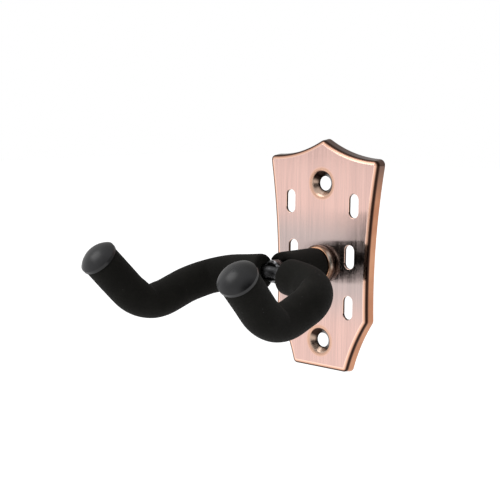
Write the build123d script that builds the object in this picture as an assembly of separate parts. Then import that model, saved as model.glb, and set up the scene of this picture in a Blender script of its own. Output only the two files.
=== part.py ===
from build123d import *
import math
import os

# Wall guitar hanger, millimetres. The origin is where the swivel axis meets the wall.
# The wall is the plane y = 0, the hanger stands out along -Y, and +Z is up.

# Backplate outline at the wall, seen from the front
plate_height = 106.15     # bottom edge to the apex, before the apex is rounded
top_width = 64.2
lower_width = 54.0
foot_width = 31.8
shoulder_drop = 8.3       # apex down to the top corners
foot_height = 24.5        # bottom edge up to the lower corners
top_bow = 2.35            # how far each edge bows inwards
side_bow = 2.0
flank_bow = 1.1
apex_radius = 2.7
shoulder_radius = 2.8
lower_radius = 2.8
foot_radius = 2.7

# Backplate section: formed sheet, with a drawn rim and a crowned edge
plate_depth = 5.0
sheet = 1.2
rim_height = 4.1
rim_draft = 0.55          # the rim's front edge lies this far inside its foot
rim_ledge = 0.15
rim_foot = 0.2            # the rim is upright for this much at the wall
crown_width = 1.8
crown_drop = 0.6

# Screw dimples: one above and one below the pivot
top_margin = 20.5         # apex to the upper hole
bottom_margin = 13.15     # bottom edge to the lower hole
pivot_drop = 0.6          # the pivot lies this far below the middle of the two
screw_hole_diameter = 6.6
dimple_depth = 2.6
dimple_angle = 90.0
screw_hole_land = 0.4     # straight part of the hole at the bottom of the dimple
lip_radius = 2.4

# Slots: three rows of two, inset from the side edge, from the bottom row up
slot_width = 5.2
slot_length = 10.8
slot_pitch = 23.1
slot_middle = 4.65        # the middle row's height above the pivot
slot_insets = (10.75, 10.7, 10.6)
slot_softening = 0.3

# Pivot
journal_diameter = 7.0
running_clearance = 0.05  # radial, and the axial play too
bush_wall = 2.9
flange_diameter = 18.0
flange_height = 3.6
flange_rounding = 1.7     # front edge
flange_back_rounding = 0.9
staked_width = 1.4        # the bush is staked out behind the sheet
staked_height = 0.8
washer_thickness = 0.5
washer_width = 2.0
rear_thrust_diameter = 15.0
rear_washer_diameter = 14.0
rear_washer_thickness = 0.6
clip_thickness = 0.8
clip_width = 3.0
groove_depth = 0.7
clip_opening = 5.4
clip_relief_radius = 1.2
clip_relief_angles = (20, 160)
shaft_end_land = 0.3
shaft_chamfer = 0.25

# Yoke: one bent rod welded across the front of the shaft
shaft_diameter = 8.0
rod_diameter = 6.0
fork_reach = 37.8         # wall to the rod's axis at the middle
elbow_half_span = 35.4
elbow_forward = 5.0
elbow_drop = 3.8
dip_half_span = 37.0
dip_forward = 37.2
dip_drop = 12.1
tip_half_span = 40.0
tip_forward = 24.1
tip_rise = 24.6
fork_bend = 12.0
elbow_bend = 21.4
dip_bend = 22.0
weld_size = 1.0
weld_slope = 0.9

# Foam sleeves and caps
foam_wall = 5.0
left_sleeve_start = 4.3   # bare rod from the fork to each arm sleeve; the right one has slid out
right_sleeve_start = 9.4
foam_end_radius = 1.6
foam_clearance = 0.3      # sleeve to its neighbour on another axis
bush_gap = 0.7            # the shaft's sleeve stops short of the bush
saddle_depth = 2.5        # how far the shaft's sleeve reaches over the arm sleeves
fit_clearance = 0.05      # radial, pieces pushed onto the rod and shaft
cap_overhang = 0.4
cap_lip = 1.4
cap_dome = 3.8
cap_socket_wall = 1.7
cap_socket_length = 8.0
cap_floor = 1.6           # rubber left over the end of the rod

# Derived sizes and places
screw_half_pitch = (plate_height - top_margin - bottom_margin) / 2
screw_z = (screw_half_pitch + pivot_drop, -screw_half_pitch + pivot_drop)
apex_z = screw_z[0] + top_margin
bottom_z = screw_z[1] - bottom_margin
shoulder = (top_width / 2, apex_z - shoulder_drop)
lower = (lower_width / 2, bottom_z + foot_height)
foot = (foot_width / 2, bottom_z)
face_y = -plate_depth
sheet_back_y = face_y + sheet
bush_back_y = sheet_back_y + staked_height
flange_y = face_y - flange_height
journal_radius = journal_diameter / 2
bore_radius = journal_radius + running_clearance
bush_radius = bore_radius + bush_wall
shaft_radius = shaft_diameter / 2
rod_radius = rod_diameter / 2
foam_radius = rod_radius + foam_wall
cap_radius = foam_radius + cap_overhang
front_washer_radius = bore_radius + washer_width
front_seat_y = flange_y + washer_thickness
shoulder_y = flange_y - running_clearance
rear_washer_y = bush_back_y + washer_thickness + running_clearance
groove_y = rear_washer_y + rear_washer_thickness
groove_width = clip_thickness + running_clearance
groove_radius = journal_radius - groove_depth
shaft_end_y = groove_y + groove_width + shaft_end_land
screw_hole_radius = screw_hole_diameter / 2
dimple_half_angle = math.radians(dimple_angle / 2)
dimple_end_y = face_y + dimple_depth
dimple_mouth_radius = screw_hole_radius + dimple_depth * math.tan(dimple_half_angle)
hole_back_y = dimple_end_y + sheet * math.sin(dimple_half_angle)
hole_back_radius = screw_hole_radius + sheet * math.cos(dimple_half_angle)


def cylinder_y(radius, y_front, y_back):
    """A solid cylinder on the swivel axis."""
    length = y_back - y_front
    return Pos(0, y_back - length / 2, 0) * Rot(90, 0, 0) * Cylinder(radius, length)


def ring_y(outer, inner, y_front, y_back):
    """A ring on the swivel axis."""
    return cylinder_y(outer, y_front, y_back) - cylinder_y(inner, y_front - 1, y_back + 1)


def bow_circle(start, end, bow):
    """Centre and radius of the circle that bows an edge inwards, going clockwise round the plate."""
    chord = Vector(*end) - Vector(*start)
    radius = (chord.length ** 2 / 4 + bow ** 2) / (2 * bow)
    outward = Vector(-chord.Y, chord.X).normalized()
    centre = (Vector(*start) + Vector(*end)) * 0.5 + outward * (radius - bow)
    return centre, radius


def plate_outline(inset=0.0):
    """The shield, drawn a distance inside itself: every edge but the bottom one bows inwards."""
    apex = (0, apex_z)
    height = apex_z - bottom_z
    area = Pos(0, bottom_z + inset + height / 2) * Rectangle(2 * top_width, height)
    bowed = ((apex, shoulder, top_bow), (shoulder, lower, side_bow), (lower, foot, flank_bow))
    for start, end, bow in bowed:
        centre, radius = bow_circle(start, end, bow)
        for side in (1, -1):
            area -= Pos(side * centre.X, centre.Y) * Circle(radius + inset)
    shield = area.faces().sort_by_distance((0, 0, 0))[0]

    rounded = (
        (apex, apex_radius),
        (shoulder, shoulder_radius),
        (lower, lower_radius),
        (foot, foot_radius),
    )
    for (x, z), radius in rounded:
        for corner_x in {x, -x}:
            vertex = shield.vertices().sort_by_distance((corner_x, z, 0))[0]
            shield = fillet(vertex, radius - inset)
    return shield


def side_edge_x(z):
    """Half the plate's width at a height between its top and lower corners."""
    centre, radius = bow_circle(shoulder, lower, side_bow)
    return centre.X - math.sqrt(radius ** 2 - (z - centre.Y) ** 2)


def dimple(thickness):
    """Space inside a dimple's front surface, or inside its back surface one sheet further out."""
    outward = thickness / math.cos(dimple_half_angle)
    end_radius = screw_hole_radius + thickness * math.cos(dimple_half_angle)
    end_y = dimple_end_y + thickness * math.sin(dimple_half_angle)
    profile = Polyline(
        (0, face_y),
        (dimple_mouth_radius + outward, face_y),
        (end_radius, end_y),
        (0, end_y),
        close=True,
    )
    return revolve(make_face(profile), Axis.Y)


def screw_hole():
    """The hole at the bottom of a dimple: a short straight land, then widening to the back."""
    profile = Polyline(
        (0, dimple_end_y),
        (screw_hole_radius, dimple_end_y),
        (screw_hole_radius, dimple_end_y + screw_hole_land),
        (hole_back_radius, hole_back_y),
        (0, hole_back_y),
        close=True,
    )
    return revolve(make_face(profile), Axis.Y)


def drafted(outline, height):
    """A block on the wall whose sides lean in by the rim's draft."""
    block = extrude(Plane.XZ * outline, height)
    top = block.faces().sort_by(Axis.Y)[0]
    return chamfer(top.edges(), rim_draft, height - rim_foot, reference=top)


def plate_blank():
    """The drawn rim and, set in by a small ledge, the crowned deck."""
    deck = extrude(Plane.XZ * plate_outline(rim_draft + rim_ledge), plate_depth)
    front = deck.faces().sort_by(Axis.Y)[0]
    deck = chamfer(front.edges(), crown_width, crown_drop, reference=front)
    return drafted(plate_outline(), rim_height) + deck


def wall_plate():
    """Formed sheet shield with two screw dimples and six slots."""
    hollow = drafted(plate_outline(sheet), plate_depth - sheet)
    for z in screw_z:
        hollow -= Pos(0, 0, z) * dimple(sheet)
    plate = plate_blank() - hollow
    plate -= cylinder_y(bush_radius + fit_clearance, face_y - 1, 1)
    for z in screw_z:
        plate -= Pos(0, 0, z) * (dimple(0) + screw_hole())

    for step, inset in zip((-1, 0, 1), slot_insets):
        z = slot_middle + step * slot_pitch
        for side in (1, -1):
            x = side * (side_edge_x(z) - inset)
            slot = Pos(x, z) * SlotOverall(slot_length, slot_width, rotation=90)
            plate -= extrude(Plane.XZ * slot, plate_depth + 1)

    front = plate.faces().filter_by(Axis.Y).sort_by(Axis.Y)[0]
    slots = [wire for wire in front.inner_wires() if len(wire.edges()) > 1]
    plate = fillet([edge for slot in slots for edge in slot.edges()], slot_softening)
    circles = plate.edges().filter_by(GeomType.CIRCLE)
    mouths = circles.filter_by(lambda edge: abs(edge.radius - dimple_mouth_radius) < 0.01)
    return fillet(mouths, lip_radius)


def pivot_bush():
    """Flanged bush: its rounded flange stands on the plate, its back end is staked."""
    bush = cylinder_y(flange_diameter / 2, flange_y, face_y)
    bush = fillet(bush.edges().sort_by(Axis.Y)[0], flange_rounding)
    bush = fillet(bush.edges().sort_by(Axis.Y)[-1], flange_back_rounding)
    bush += cylinder_y(bush_radius, face_y, bush_back_y)
    bush += cylinder_y(bush_radius + staked_width, sheet_back_y, bush_back_y)
    bush -= cylinder_y(bore_radius, flange_y - 1, 1)
    bush -= cylinder_y(front_washer_radius + fit_clearance, flange_y - 1, front_seat_y)
    return bush


def front_thrust_washer():
    """Lies in the bush's face, under the shoulder of the shaft."""
    return ring_y(front_washer_radius, bore_radius, flange_y, front_seat_y)


def rear_thrust_washer():
    """Lies on the back of the bush."""
    back_y = bush_back_y + washer_thickness
    return ring_y(rear_thrust_diameter / 2, bore_radius, bush_back_y, back_y)


def rear_washer():
    """Turns with the shaft, between the thrust washer and the clip."""
    hole_radius = journal_radius + fit_clearance
    return ring_y(rear_washer_diameter / 2, hole_radius, rear_washer_y, groove_y)


def retaining_clip():
    """E-shaped clip pushed sideways into the shaft's groove."""
    inner = groove_radius + fit_clearance
    profile = Circle(inner + clip_width) - Circle(inner)
    outer = inner + clip_width
    profile -= Pos(0, -outer) * Rectangle(clip_opening, 2 * outer)
    for angle in clip_relief_angles:
        profile -= Rot(0, 0, angle) * Pos(inner, 0) * Circle(clip_relief_radius)
    clip = extrude(Plane.XZ * profile, clip_thickness)
    return Pos(0, groove_y + clip_thickness, 0) * clip


def elbow(side):
    return Vector(side * elbow_half_span, -fork_reach - elbow_forward, -elbow_drop)


def dip(side):
    return elbow(side) + Vector(side * (dip_half_span - elbow_half_span), -dip_forward, -dip_drop)


def tip(side):
    """The centre of the cap's widest circle."""
    return dip(side) + Vector(side * (tip_half_span - dip_half_span), -tip_forward, tip_rise)


def tip_direction(side):
    return (tip(side) - dip(side)).normalized()


def tip_plane(side, along=0.0):
    """A plane across the arm, with its normal out of the tip."""
    return Plane(origin=tip(side) + tip_direction(side) * along, z_dir=tip_direction(side))


def tube(path, outer, inner=0.0):
    """A rod or sleeve swept along straight runs and arcs."""
    section = Circle(outer)
    if inner:
        section -= Circle(inner)
    start = Plane(origin=path @ 0, z_dir=path % 0)
    return sweep(start * section, path=path)


def yoke_line():
    """The rod's line from tip to tip, bent at the fork, the elbows and the dips."""
    ends = [tip(side) + tip_direction(side) * (cap_dome - cap_floor) for side in (-1, 1)]
    points = [ends[0], dip(-1), elbow(-1), (0, -fork_reach, 0), elbow(1), dip(1), ends[1]]
    bends = [dip_bend, elbow_bend, fork_bend, elbow_bend, dip_bend]
    return Wire(FilletPolyline(*points, radius=bends).edges())


def swivel_shaft():
    """Journal, shoulder and shaft, with the front end coped over the rod."""
    shaft = cylinder_y(shaft_radius, -fork_reach, shoulder_y)
    journal = cylinder_y(journal_radius, shoulder_y, shaft_end_y)
    journal = chamfer(journal.edges().sort_by(Axis.Y)[-1], shaft_chamfer)
    groove = ring_y(shaft_radius, groove_radius, groove_y, groove_y + groove_width)
    return shaft + journal - groove - rod_room


def weld_bead():
    """Fillet of weld round the joint of the shaft and the rod."""
    back_y = -fork_reach + rod_radius + weld_size
    bead = cylinder_y(shaft_radius + weld_size, -fork_reach - rod_radius / 2, back_y)
    bead = chamfer(bead.edges().filter_by(GeomType.CIRCLE), weld_slope)
    bead -= rod_room
    bead -= cylinder_y(shaft_radius + fit_clearance, -fork_reach - rod_diameter, back_y + 1)
    return bead.solids().sort_by(SortBy.VOLUME)[-1]


def arm_path(side, start, end):
    """The rod's line along one arm, between two points on its end runs."""
    points = [start, elbow(side), dip(side), end]
    return Wire(FilletPolyline(*points, radius=[elbow_bend, dip_bend]).edges())


def fork_point(side, distance):
    """A point on the rod's axis beside the fork."""
    fork = Vector(0, -fork_reach, 0)
    return fork + (elbow(side) - fork).normalized() * distance


def shaft_foam():
    """Sleeve from the bush to the arm sleeves, saddled over them."""
    front_y = -fork_reach + foam_radius - saddle_depth
    sleeve = ring_y(foam_radius, shaft_radius + fit_clearance, front_y, flange_y - bush_gap)
    for side in (1, -1):
        start, end = fork_point(side, 0), fork_point(side, foam_radius * 2)
        cutter = Plane(origin=start, z_dir=end - start) * Circle(foam_radius + foam_clearance)
        sleeve -= extrude(cutter, (end - start).length)
    return sleeve


def arm_foam(side, sleeve_start):
    """Sleeve from the fork to the cap, pressed aside by the weld."""
    start = fork_point(side, sleeve_start)
    end = tip_plane(side, -cap_lip).origin
    sleeve = tube(arm_path(side, start, end), foam_radius, rod_radius + fit_clearance)
    rims = sleeve.edges().filter_by(GeomType.CIRCLE)
    rims = rims.filter_by(lambda rim: rim.radius > foam_radius - fit_clearance)
    sleeve = fillet(rims.sort_by_distance(start)[0], foam_end_radius)
    socket_radius = rod_radius + cap_socket_wall + fit_clearance
    sleeve -= extrude(tip_plane(side, -cap_lip) * Circle(socket_radius), -cap_socket_length)
    weld_radius = shaft_radius + weld_size + fit_clearance
    return sleeve - cylinder_y(weld_radius, -fork_reach - rod_radius, -fork_reach + foam_radius + 1)


def end_cap(side):
    """Domed rubber cap with a lip, and a socket over the rod inside the foam."""
    dome_radius = (cap_radius ** 2 + cap_dome ** 2) / (2 * cap_dome)
    dome_rim = Pos(0, 0, cap_dome - dome_radius) * Sphere(dome_radius)
    front = dome_rim & (Pos(0, 0, cap_dome / 2) * Cylinder(cap_radius, cap_dome))
    lip = Pos(0, 0, -cap_lip / 2) * Cylinder(cap_radius, cap_lip)
    socket = Cylinder(rod_radius + cap_socket_wall, cap_socket_length)
    cap = front + lip + Pos(0, 0, -cap_lip - cap_socket_length / 2) * socket
    bore_depth = cap_lip + cap_socket_length + cap_dome - cap_floor
    bore = Cylinder(rod_radius + fit_clearance, bore_depth)
    cap -= Pos(0, 0, cap_dome - cap_floor - bore_depth / 2) * bore
    return tip_plane(side) * cap


def check_bend(name, radius, before, corner, after):
    """A bend has to fit between the straight runs beside it."""
    turn = (corner - before).get_angle(after - corner)
    tangent = radius * math.tan(math.radians(turn / 2))
    print(f"{name} turns {turn:.1f} degrees and takes {tangent:.1f} mm of each run")


rod_line = yoke_line()
rod_room = tube(rod_line, rod_radius + fit_clearance)
check_bend("elbow", elbow_bend, Vector(0, -fork_reach, 0), elbow(1), dip(1))
check_bend("dip", dip_bend, elbow(1), dip(1), tip(1))

parts = {
    "wall_plate": wall_plate(),
    "pivot_bush": pivot_bush(),
    "front_thrust_washer": front_thrust_washer(),
    "rear_thrust_washer": rear_thrust_washer(),
    "rear_washer": rear_washer(),
    "retaining_clip": retaining_clip(),
    "swivel_shaft": swivel_shaft(),
    "yoke_rod": tube(rod_line, rod_radius),
    "weld_bead": weld_bead(),
    "shaft_foam": shaft_foam(),
    "left_arm_foam": arm_foam(-1, left_sleeve_start),
    "right_arm_foam": arm_foam(1, right_sleeve_start),
    "left_end_cap": end_cap(-1),
    "right_end_cap": end_cap(1),
}

os.makedirs("parts", exist_ok=True)
for node, solid in parts.items():
    export_step(solid, f"parts/{node}.step")
    box = solid.bounding_box()
    print(f"{node}: {solid.volume:.1f} mm3, y {box.min.Y:.2f} to {box.max.Y:.2f}")
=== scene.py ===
import math

import bmesh
import bpy
from mathutils import Matrix, Vector, noise


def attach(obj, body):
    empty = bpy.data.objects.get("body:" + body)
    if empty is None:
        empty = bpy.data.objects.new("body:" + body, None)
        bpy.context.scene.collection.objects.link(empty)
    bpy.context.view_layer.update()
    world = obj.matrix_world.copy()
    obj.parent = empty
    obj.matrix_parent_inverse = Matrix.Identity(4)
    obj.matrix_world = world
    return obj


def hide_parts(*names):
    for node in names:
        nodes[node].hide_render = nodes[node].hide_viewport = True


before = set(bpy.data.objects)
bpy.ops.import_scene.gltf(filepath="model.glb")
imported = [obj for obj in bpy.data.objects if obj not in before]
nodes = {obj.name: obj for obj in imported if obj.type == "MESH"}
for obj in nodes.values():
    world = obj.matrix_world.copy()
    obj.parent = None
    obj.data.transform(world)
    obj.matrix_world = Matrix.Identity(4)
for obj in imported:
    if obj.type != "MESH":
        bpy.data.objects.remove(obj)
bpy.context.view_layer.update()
mm = 0.001
print("frame loaded:", len(nodes), "nodes")


class Wire:
    # a socket that sums can be written on; numbers alone stay in Python
    def __init__(self, bench, socket):
        self.bench = bench
        self.socket = socket

    def maths(self, operation, *values):
        return self.bench.node("ShaderNodeMath", {"operation": operation}, dict(enumerate(values)))

    def __add__(self, other):
        return self.maths("ADD", self, other)

    def __mul__(self, other):
        return self.maths("MULTIPLY", self, other)

    def __sub__(self, other):
        return self.maths("SUBTRACT", self, other)

    def __rsub__(self, other):
        return self.maths("SUBTRACT", other, self)

    def __truediv__(self, other):
        return self.maths("DIVIDE", self, other)

    def __pow__(self, other):
        return self.maths("POWER", self, other)

    __radd__ = __add__
    __rmul__ = __mul__


class Bench:
    # one node tree and the few moves that every finish here is made with
    def __init__(self, tree):
        self.tree = tree
        tree.nodes.clear()

    def node(self, kind, settings=None, sockets=None, output=0):
        made = self.tree.nodes.new(kind)
        for name, value in (settings or {}).items():
            if name == "stops":
                ramp = made.color_ramp
                while len(ramp.elements) < len(value):
                    ramp.elements.new(0.5)
                for stop, (place, colour) in zip(ramp.elements, value):
                    stop.position = place
                    stop.color = (*colour, 1)
            else:
                setattr(made, name, value)
        for name, value in (sockets or {}).items():
            if isinstance(value, Wire):
                self.tree.links.new(value.socket, made.inputs[name])
            elif made.inputs[name].type == "RGBA":
                made.inputs[name].default_value = (*value, 1)
            else:
                made.inputs[name].default_value = value
        return Wire(self, made.outputs[output] if made.outputs else None)

    def place(self):
        return self.node("ShaderNodeTexCoord", output="Object")

    def axes(self, vector):
        parts = self.node("ShaderNodeSeparateXYZ", None, {"Vector": vector})
        outputs = parts.socket.node.outputs
        return [Wire(self, outputs[i]) for i in range(3)]

    def stretched(self, vector, scale):
        return self.node("ShaderNodeVectorMath", {"operation": "MULTIPLY"}, {0: vector, 1: scale})

    def grain(self, vector, scale, detail=3, roughness=0.55):
        return self.node("ShaderNodeTexNoise", None,
                         {"Vector": vector, "Scale": scale, "Detail": detail, "Roughness": roughness})

    def fade(self, value, start, end, low=0, high=1):
        # runs smoothly from low to high as value goes from start to end
        return self.node("ShaderNodeMapRange", {"interpolation_type": "SMOOTHSTEP"},
                         {"Value": value, "From Min": start, "From Max": end, "To Min": low, "To Max": high})

    def mix(self, factor, first, second, blend="MIX"):
        return self.node("ShaderNodeMix", {"data_type": "RGBA", "blend_type": blend},
                         {0: factor, 6: first, 7: second}, output=2)

    def bump(self, height, strength, distance):
        return self.node("ShaderNodeBump", None,
                         {"Height": height, "Strength": strength, "Distance": distance})


def finish(name, build):
    material = bpy.data.materials.new(name)
    material.use_nodes = True
    bench = Bench(material.node_tree)
    surface = build(bench)
    if isinstance(surface, dict):
        surface = bench.node("ShaderNodeBsdfPrincipled", None, surface)
    bench.node("ShaderNodeOutputMaterial", None, {"Surface": surface})
    return material


# The plate: brushed copper face, patina and painted shade in the edge's hollow, and orange rim
plateFinish = {
    "face": (0.79, 0.525, 0.462),
    "faceDark": (0.64, 0.43, 0.385),
    "paintedGreyReflection": (0.57, 0.455, 0.43),      # painted reflection: a greyer band across the face, above and below the pivot
    "paintedGreyReflectionDark": (0.47, 0.38, 0.36),
    "crown": (0.80, 0.46, 0.33),
    "worn": (0.95, 0.66, 0.54),
    "rim": (0.42, 0.185, 0.105),
    # painted reflection: darkens the rim band towards the top
    "rimLight": (0.54, 0.27, 0.16),
    "paintedRimReflection": (0.12, 0.088, 0.08),
    # patina and painted shade, in the step's hollow and on the slot walls
    "patinaAndShade": (0.045, 0.022, 0.015),
    "lip": (0.66, 0.40, 0.29),
    # painted shade inside the dimples' cones, darkest down the throat
    "dimple": (0.03, 0.016, 0.012),
    "throatShade": (0.02, 0.012, 0.009),
    "paintedDimpleLight": (0.50, 0.36, 0.28),    # painted reflection of the light on the lower left of the dimples
    # painted highlight ring round each dimple, for the light on its rolled lip
    "paintedLipHighlight": (0.76, 0.47, 0.36),
    "faceRoughness": 0.13,
    "strokeSpread": (-0.04, 0.06),    # how far the brush strokes vary it
    "dimpleRoughness": 0.28,
    "brushLine": 0.35 * mm,
    "brushRun": 30 * mm,
    "depth": 5.0 * mm,            # the plate's face stands this far off the wall
    "screwHeights": (36.85 * mm, -35.65 * mm),
    "dimpleRadius": 6.9 * mm,
    # where each tone sets in and is full: up the plate, from the face back, or past a dimple's radius
    "greyBandAbove": (29 * mm, 10 * mm),
    "greyBandBelow": (-30 * mm, -8 * mm),
    "rimReflectionUp": (26 * mm, 50 * mm),
    "rimReflectionMost": 0.9,
    "wornBack": (0.004 * mm, 0.03 * mm),
    "crownBack": (0.05 * mm, 0.22 * mm),
    "patinaShadeBack": (0.24 * mm, 0.52 * mm),
    "rimBack": (1.3 * mm, 2.2 * mm),
    "cutWallTo": (1.5 * mm, 1.3 * mm),
    "throatShadeBack": (1.0 * mm, 2.4 * mm),
    "dimpleLightTo": (2.6 * mm, 1.6 * mm),
    "lipTo": (0.36 * mm, 0.10 * mm),
    "insidePast": (0.35 * mm, -0.1 * mm),
    "lipHighlightPast": (1.1 * mm, 0.2 * mm),
    "lipHighlightMost": 0.75,
    "lowerLeft": (-0.2 * mm, -3.2 * mm),
}


def brushedCopper(b):
    f = plateFinish
    place = b.place()
    x, y, z = b.axes(place)
    front = y + f["depth"]                  # 0 on the face, rising towards the wall
    lines = b.grain(b.stretched(place, (1 / f["brushLine"], 90, 1 / f["brushRun"])), 1, 4, 0.65)
    broad = b.grain(b.stretched(place, (260, 40, 9)), 1, 3, 0.5)
    blotch = b.grain(place, 60, 4, 0.6)

    streaks = lines * 0.65 + broad * 0.35
    stroke = b.fade(streaks, 0.36, 0.62)
    # painted reflection: the face is painted greyer in a band round the pivot
    greyReflectionBand = b.fade(z, *f["greyBandAbove"]) * b.fade(z, *f["greyBandBelow"])
    face = b.mix(greyReflectionBand, b.mix(stroke, f["faceDark"], f["face"]), b.mix(stroke, f["paintedGreyReflectionDark"], f["paintedGreyReflection"]))
    face = b.mix(b.fade(front, *f["wornBack"]), face, f["worn"])
    face = b.mix(b.fade(front, *f["crownBack"]), face, f["crown"])
    rim = b.mix(b.fade(blotch, 0.3, 0.75), f["rim"], f["rimLight"])
    # painted reflection: the rim band is painted darker towards the top of the plate
    rim = b.mix(b.fade(z, *f["rimReflectionUp"], 0, f["rimReflectionMost"]), rim, f["paintedRimReflection"])
    # patina and painted shade in the step between the crown and the rim
    edge = b.mix(b.fade(front, *f["patinaShadeBack"]), face, f["patinaAndShade"])
    edge = b.mix(b.fade(front, *f["rimBack"]), edge, rim)

    # the slots' walls are painted dark with patina and painted shade; a wall is where the surface looks
    # sideways
    facing = b.axes(b.node("ShaderNodeTexCoord", output="Normal"))[1]
    cutWall = b.fade(facing * facing, 0.3, 0.1) * b.fade(front, *f["cutWallTo"])
    edge = b.mix(cutWall, edge, f["patinaAndShade"])

    # the dimples' cones are painted dark as shade, with a painted reflection of the light on their lower
    # left and a painted highlight ring round them
    dimples = lipHighlightMask = dimpleLitMask = 0
    for height in f["screwHeights"]:
        up = z - height
        past = (x * x + up * up) ** 0.5 - f["dimpleRadius"]
        inside = b.fade(past, *f["insidePast"])
        dimples = inside + dimples
        lipHighlightMask = b.fade(past, *f["lipHighlightPast"]) + lipHighlightMask
        dimpleLitMask = inside * b.fade(up + x * 0.7, *f["lowerLeft"]) + dimpleLitMask
    # painted highlight: a warm ring is painted round each dimple
    edge = b.mix(lipHighlightMask * f["lipHighlightMost"], edge, f["paintedLipHighlight"])
    # painted shade: the cone is painted dark, darker down its throat
    cone = b.mix(b.fade(front, *f["throatShadeBack"]), f["dimple"], f["throatShade"])
    # painted reflection: the lower left of each cone is painted lighter
    cone = b.mix(dimpleLitMask * b.fade(front, *f["dimpleLightTo"]), cone, f["paintedDimpleLight"])
    cone = b.mix(b.fade(front, *f["lipTo"]), cone, f["lip"])
    dimpleShader = b.node("ShaderNodeBsdfPrincipled", None, {
        "Base Color": cone,
        "Metallic": 1.0,
        "Roughness": f["dimpleRoughness"],
        "Normal": b.bump(blotch, 0.05, 0.03 * mm),
    })
    brushed = b.node("ShaderNodeBsdfPrincipled", None, {
        "Base Color": edge,
        "Metallic": 1.0,
        "Roughness": b.fade(streaks, 0.3, 0.7, *(f["faceRoughness"] + d for d in f["strokeSpread"])),
        "Anisotropic": 1.0,
        "Normal": b.bump(lines, 0.08, 0.03 * mm),
    })
    return b.node("ShaderNodeMixShader", None, {0: dimples, 1: brushed, 2: dimpleShader})


bushFinish = {
    "copper": (0.26, 0.16, 0.11),
    "shade": (0.12, 0.07, 0.048),
    "bare": (0.80, 0.42, 0.24),       # the front edge, partly rubbed through its plating, partly a painted highlight
    "paintedHighlight": (0.86, 0.76, 0.66),   # painted highlight on one shoulder, paler than the rest
    "paintedContactShade": (0.05, 0.03, 0.02),    # painted shade where the flange meets the plate
    "highlightTowards": (0.93, 0.0, 0.36),
    "front": -8.6 * mm,
    "radius": 9.0 * mm,
    "turningPitch": 0.25 * mm,
    "bareTo": (0.22 * mm, 0.05 * mm),         # back from the flange's front
    "contactShadeBack": (1.2 * mm, 2.2 * mm),
    "highlightPast": (0.80, 1.0),              # shares of the radius
    "highlightMost": 0.8,
}


def turnedCopper(b):
    f = bushFinish
    place = b.place()
    x, y, z = b.axes(place)
    away = (x * x + z * z) ** 0.5
    pitch = f["turningPitch"]
    rings = b.grain(b.node("ShaderNodeCombineXYZ", None, {0: away / pitch, 1: y / pitch}), 1, 2)
    stain = b.grain(place, 240, 3)
    tone = rings * 0.5 + stain * 0.5
    back = y - f["front"]                   # 0 on the flange's front, rising towards the plate
    towards = (x * f["highlightTowards"][0] + z * f["highlightTowards"][2]) / f["radius"]
    metal = b.mix(b.fade(tone, 0.35, 0.62), f["shade"], f["copper"])
    # painted highlight: one shoulder of the flange is painted paler
    metal = b.mix(b.fade(towards, *f["highlightPast"], 0, f["highlightMost"]), metal, f["paintedHighlight"])
    # painted shade: the flange is painted darker towards the plate
    metal = b.mix(b.fade(back, *f["contactShadeBack"]), metal, f["paintedContactShade"])
    # partly worn plating, partly painted highlight: the flange's front edge is painted bright orange
    metal = b.mix(b.fade(back, *f["bareTo"]), metal, f["bare"])
    tangent = b.node("ShaderNodeTangent", {"direction_type": "RADIAL", "axis": "Y"})
    return {
        "Base Color": metal,
        "Metallic": 1.0,
        "Roughness": b.fade(tone, 0.3, 0.7, 0.20, 0.30),
        "Anisotropic": 0.7,
        "Tangent": tangent,
        "Normal": b.bump(rings, 0.15, 0.03 * mm),
    }


def steel(light, dark, roughness, coarseness=220):
    # plated or blackened steel, with faint drawing lines and stains
    def build(b):
        place = b.place()
        stains = b.grain(place, coarseness, 4, 0.6)
        scratches = b.grain(b.stretched(place, (1, 9, 1)), coarseness * 5, 2)
        return {
            "Base Color": b.mix(b.fade(stains, 0.35, 0.65), dark, light),
            "Metallic": 1.0,
            "Roughness": b.fade(scratches, 0.3, 0.7, roughness - 0.06, roughness + 0.08),
            "Normal": b.bump(scratches, 0.1, 0.02 * mm),
        }
    return build


weldFinish = {
    "metal": (0.30, 0.30, 0.31),
    "soot": (0.03, 0.03, 0.03),
    "ripple": 0.9 * mm,
}


def weldMetal(b):
    f = weldFinish
    place = b.place()
    ripples = b.node("ShaderNodeTexWave", {"wave_type": "RINGS", "rings_direction": "Y"},
                     {"Vector": place, "Scale": 0.3 / f["ripple"], "Distortion": 3.0, "Detail": 2.0})
    soot = b.grain(place, 900, 4)
    return {
        "Base Color": b.mix(b.fade(soot, 0.48, 0.66), f["soot"], f["metal"]),
        "Metallic": 1.0,
        "Roughness": b.fade(soot, 0.3, 0.7, 0.55, 0.3),
        "Normal": b.bump(ripples, 0.7, 0.25 * mm),
    }


def nylon(b):
    place = b.place()
    cloud = b.grain(place, 300, 3)
    return {
        "Base Color": b.mix(cloud, (0.78, 0.76, 0.69), (0.66, 0.64, 0.57)),
        "Roughness": b.fade(cloud, 0.3, 0.7, 0.4, 0.55),
        "Subsurface Weight": 0.15,
        "Subsurface Scale": 0.5 * mm,
        "Normal": b.bump(cloud, 0.1, 0.05 * mm),
    }


foamFinish = {
    "skin": (0.0085, 0.0082, 0.0068),
    "worn": (0.0135, 0.0130, 0.0108),
    "pore": (0.002, 0.002, 0.002),
    "dust": (0.05, 0.05, 0.05),
    "poreSize": 0.35 * mm,
    "roughness": 0.85,
}


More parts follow.
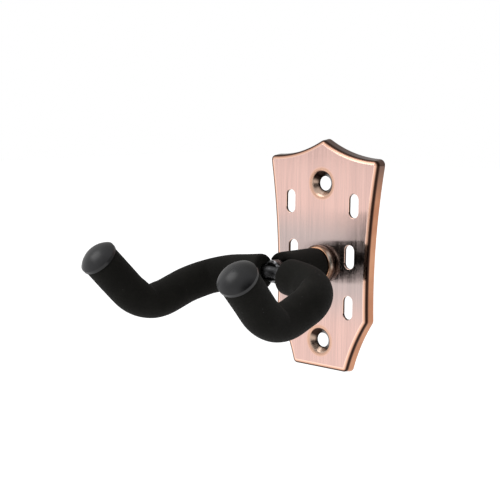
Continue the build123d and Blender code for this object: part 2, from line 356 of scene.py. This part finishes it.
def sleeveFoam(b):
    f = foamFinish
    place = b.place()
    cells = b.node("ShaderNodeTexVoronoi", {"feature": "F1"}, {"Vector": place, "Scale": 1 / f["poreSize"]})
    fine = b.grain(place, 2600, 4, 0.6)
    broad = b.grain(place, 140, 3)
    skin = b.mix(b.fade(cells, 0.30, 0.12), f["skin"], f["pore"])
    skin = b.mix(b.fade(broad, 0.35, 0.7, 0, 0.45), skin, f["worn"])
    specks = b.fade(b.grain(place, 900, 2, 0.4), 0.74, 0.80)
    height = fine * 0.5 + b.fade(cells, 0.05, 0.5) * 0.5
    return {
        "Base Color": b.mix(specks, skin, f["dust"]),
        "Roughness": b.fade(fine, 0.3, 0.7, f["roughness"] - 0.08, f["roughness"] + 0.1),
        "Specular IOR Level": 0.10,
        "Sheen Weight": 0.02,
        "Sheen Roughness": 0.5,
        "Normal": b.bump(height, 0.55, 0.12 * mm),
    }


capFinish = {
    "rubber": (0.004, 0.004, 0.0045),
    "bloom": (0.009, 0.009, 0.0105),
    "roughness": 0.32,
}


def capRubber(b):
    f = capFinish
    place = b.place()
    texture = b.grain(place, 2200, 3, 0.6)
    bloom = b.grain(place, 130, 4, 0.6)
    return {
        "Base Color": b.mix(b.fade(bloom, 0.35, 0.7), f["rubber"], f["bloom"]),
        "Roughness": b.fade(bloom, 0.3, 0.75, f["roughness"] - 0.05, f["roughness"] + 0.1),
        "Specular IOR Level": 0.4,
        "Normal": b.bump(texture, 0.25, 0.05 * mm),
    }


finishes = {
    "wall_plate": finish("brushedCopper", brushedCopper),
    "pivot_bush": finish("turnedCopper", turnedCopper),
    "rear_washer": finish("zincSteel", steel((0.62, 0.62, 0.60), (0.48, 0.48, 0.47), 0.35)),
    "retaining_clip": finish("springSteel", steel((0.16, 0.15, 0.15), (0.08, 0.08, 0.08), 0.35)),
    "weld_bead": finish("weldMetal", weldMetal),
}
blackSteel = finish("blackSteel", steel((0.09, 0.09, 0.095), (0.03, 0.03, 0.03), 0.32))
finishes["yoke_rod"] = blackSteel
finishes["swivel_shaft"] = blackSteel
nylonFinish = finish("nylon", nylon)
finishes["front_thrust_washer"] = nylonFinish
finishes["rear_thrust_washer"] = nylonFinish
capMaterial = finish("capRubber", capRubber)
finishes["left_end_cap"] = capMaterial
finishes["right_end_cap"] = capMaterial
foamMaterial = finish("sleeveFoam", sleeveFoam)

for name, material in finishes.items():
    nodes[name].data.materials.clear()
    nodes[name].data.materials.append(material)
print("finishes on the frame:", len(finishes))


# The sleeves over the rod and the shaft
sleeveShape = {
    "voxel": 0.55 * mm,
    "smoothing": 3,
    "creaseDepth": 1.6 * mm,      # how far the foam folds in on the inside of a bend
    "creaseWidth": 5.0 * mm,
    "foamRadius": 8.0 * mm,
    "creaseSharpness": 1.3,
    "unevenness": 0.10 * mm,      # hand-cut foam is never quite round
    "unevenScale": 90,
    "unevenBias": 0.35,           # draws the sleeve in a little, on average
}

# The rod's corners, right side; the foam follows it round them
rodCorners = {
    "fork": Vector((0, -37.8, 0)) * mm,
    "elbow": Vector((35.4, -42.8, -3.8)) * mm,
    "dip": Vector((37.0, -80.0, -15.9)) * mm,
    "tip": Vector((40.0, -104.1, 8.7)) * mm,
    "elbowBend": 21.4 * mm,
    "dipBend": 22.0 * mm,
}


def bendAt(before, corner, after, radius):
    # the bend's centre, the ways from it to the corner and along the rod, and its radius
    incoming = (before - corner).normalized()
    outgoing = (after - corner).normalized()
    bisector = (incoming + outgoing).normalized()
    halfAngle = incoming.angle(outgoing) / 2
    centre = corner + bisector * (radius / math.sin(halfAngle))
    return centre, -bisector, (outgoing - incoming).normalized(), radius


def creaseBend(bm, bend, depth, width):
    # folds the foam in along the line where the bend is tightest
    centre, outward, along, radius = bend
    for vert in bm.verts:
        arm = vert.co - centre
        reach = arm.dot(outward)
        inner = (radius - reach) / sleeveShape["foamRadius"]
        fold = 1 - abs(arm.dot(along)) / width
        if reach > 0 and inner > 0 and fold > 0:
            vert.co += outward * depth * fold ** sleeveShape["creaseSharpness"] * min(1, inner)


def foamSleeve(name, node, body, bends):
    # a copy of the frame's plain sleeve, remeshed, softened and folded
    s = sleeveShape
    bm = bmesh.new()
    bm.from_mesh(nodes[node].data)
    bmesh.ops.remove_doubles(bm, verts=bm.verts, dist=0.001 * mm)
    mesh = bpy.data.meshes.new(name)
    bm.to_mesh(mesh)
    bm.free()
    sleeve = bpy.data.objects.new(name, mesh)
    bpy.context.scene.collection.objects.link(sleeve)
    remesh = sleeve.modifiers.new("remesh", "REMESH")
    remesh.mode = "VOXEL"
    remesh.voxel_size = s["voxel"]
    graph = bpy.context.evaluated_depsgraph_get()
    even = bpy.data.meshes.new_from_object(sleeve.evaluated_get(graph))
    sleeve.modifiers.clear()

    bm = bmesh.new()
    bm.from_mesh(even)
    for _ in range(s["smoothing"]):
        bmesh.ops.smooth_vert(bm, verts=bm.verts, factor=0.5,
                              use_axis_x=True, use_axis_y=True, use_axis_z=True)
    for bend in bends:
        creaseBend(bm, bend, s["creaseDepth"], s["creaseWidth"])
    for vert in bm.verts:
        bump = noise.noise(vert.co * s["unevenScale"]) - s["unevenBias"]
        vert.co += vert.normal * bump * s["unevenness"]
    bmesh.ops.recalc_face_normals(bm, faces=bm.faces)
    for face in bm.faces:
        face.smooth = True
    bm.to_mesh(mesh)
    bm.free()
    bpy.data.meshes.remove(even)
    mesh.materials.clear()
    mesh.materials.append(foamMaterial)
    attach(sleeve, body)
    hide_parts(node)
    print("sleeve", name, len(mesh.polygons), "faces")
    return sleeve


def mirrored(point, side):
    return Vector((point.x * side, point.y, point.z))


for side, label in ((-1, "left"), (1, "right")):
    fork, elbow, dip, tip = (mirrored(rodCorners[k], side) for k in ("fork", "elbow", "dip", "tip"))
    bends = [
        bendAt(fork, elbow, dip, rodCorners["elbowBend"]),
        bendAt(elbow, dip, tip, rodCorners["dipBend"]),
    ]
    foamSleeve(label + "ArmSleeve", label + "_arm_foam", "yoke", bends)
foamSleeve("shaftSleeve", "shaft_foam", "yoke", [])


# The pale floor
stageLook = {
    "floorHeight": -0.55,
    "floorSize": 8.0,
    "floorColour": (0.86, 0.86, 0.86),
    "floorLift": 0.52,            # what the floor adds of its own for the camera and reflections
}

floorMesh = bpy.data.meshes.new("floor")
bm = bmesh.new()
bmesh.ops.create_grid(bm, x_segments=1, y_segments=1, size=stageLook["floorSize"])
bmesh.ops.translate(bm, verts=bm.verts, vec=(0, 0, stageLook["floorHeight"]))
bm.to_mesh(floorMesh)
bm.free()
floor = bpy.data.objects.new("floor", floorMesh)
bpy.context.scene.collection.objects.link(floor)
floorMaterial = bpy.data.materials.new("paleFloor")
floorMaterial.use_nodes = True
b = Bench(floorMaterial.node_tree)
seen = b.node("ShaderNodeLightPath", output="Is Camera Ray")
seen = seen + b.node("ShaderNodeLightPath", output="Is Glossy Ray")
matt = b.node("ShaderNodeBsdfDiffuse", None, {"Color": stageLook["floorColour"]})
glow = b.node("ShaderNodeEmission", None, {"Color": (1, 1, 1), "Strength": seen * stageLook["floorLift"]})
lit = b.node("ShaderNodeAddShader", None, {0: matt, 1: glow})
b.node("ShaderNodeOutputMaterial", None, {"Surface": lit})
floorMesh.materials.append(floorMaterial)

roomLight = {
    "bright": (0.95, 0.95, 0.96),
    "dark": (0.05, 0.05, 0.05),
    "darkTowards": Vector((0.95, -0.32, 0.0)),    # the unlit side of the studio
    "darkCore": 0.84,
    "darkEdge": 0.58,
    "behind": (0.55, 0.54, 0.53),
    "behindFrom": (-0.1, 0.6),
}

world = bpy.data.worlds.new("studio")
bpy.context.scene.world = world
world.use_nodes = True
b = Bench(world.node_tree)
way = b.node("ShaderNodeTexCoord", output="Generated")
towards = b.node("ShaderNodeVectorMath", {"operation": "DOT_PRODUCT"},
                 {0: way, 1: tuple(roomLight["darkTowards"].normalized())}, output="Value")
depth = b.axes(way)[1]
air = b.mix(b.fade(depth, *roomLight["behindFrom"]), roomLight["bright"], roomLight["behind"])
air = b.mix(b.fade(towards, roomLight["darkEdge"], roomLight["darkCore"]), air, roomLight["dark"])
seen = b.node("ShaderNodeLightPath", output="Is Camera Ray")
background = b.node("ShaderNodeBackground", None,
                    {"Color": b.mix(seen, air, (1.0, 1.0, 1.0)), "Strength": 1.0})
b.node("ShaderNodeOutputWorld", None, {"Surface": background})

keyLamp = {
    "size": 0.9,
    "power": 6.0,
    "at": Vector((-0.7, -0.9, 1.1)),
    "aim": Vector((0.0, -0.04, 0.0)),
}
lamp = bpy.data.lights.new("softbox", "AREA")
lamp.shape = "SQUARE"
lamp.size = keyLamp["size"]
lamp.energy = keyLamp["power"]
softbox = bpy.data.objects.new("softbox", lamp)
softbox.location = keyLamp["at"]
softbox.rotation_euler = (keyLamp["at"] - keyLamp["aim"]).to_track_quat("Z", "Y").to_euler()
bpy.context.scene.collection.objects.link(softbox)

cameraSetup = {
    "azimuth": 42.34,
    "elevation": 7.47,
    "roll": 0.51,
    "distance": 572.0 * mm,
    "across": 32.26 * mm,         # where the pivot sits from the middle of the view
    "up": -6.38 * mm,
    "lens": 90.0,
    "target": Vector((0, -5.0, 0)) * mm,
}


def makeCamera(c):
    azimuth, elevation, roll = (math.radians(c[k]) for k in ("azimuth", "elevation", "roll"))
    level = math.cos(elevation)
    back = Vector((math.sin(azimuth) * level, -math.cos(azimuth) * level, math.sin(elevation)))
    right = Vector((math.cos(azimuth), math.sin(azimuth), 0))
    up = back.cross(right)
    turned = right * math.cos(roll) + up * math.sin(roll)
    right, up = turned, up * math.cos(roll) - right * math.sin(roll)
    data = bpy.data.cameras.new("camera")
    data.lens = c["lens"]
    data.clip_start = 0.01
    data.clip_end = 50
    camera = bpy.data.objects.new("camera", data)
    place = c["target"] + back * c["distance"] - right * c["across"] - up * c["up"]
    turn = Matrix((right, up, back)).transposed().to_4x4()
    camera.matrix_world = Matrix.Translation(place) @ turn
    bpy.context.scene.collection.objects.link(camera)
    bpy.context.scene.camera = camera


makeCamera(cameraSetup)
bpy.context.scene.view_settings.view_transform = "Standard"
print("stage, lights and camera are set")
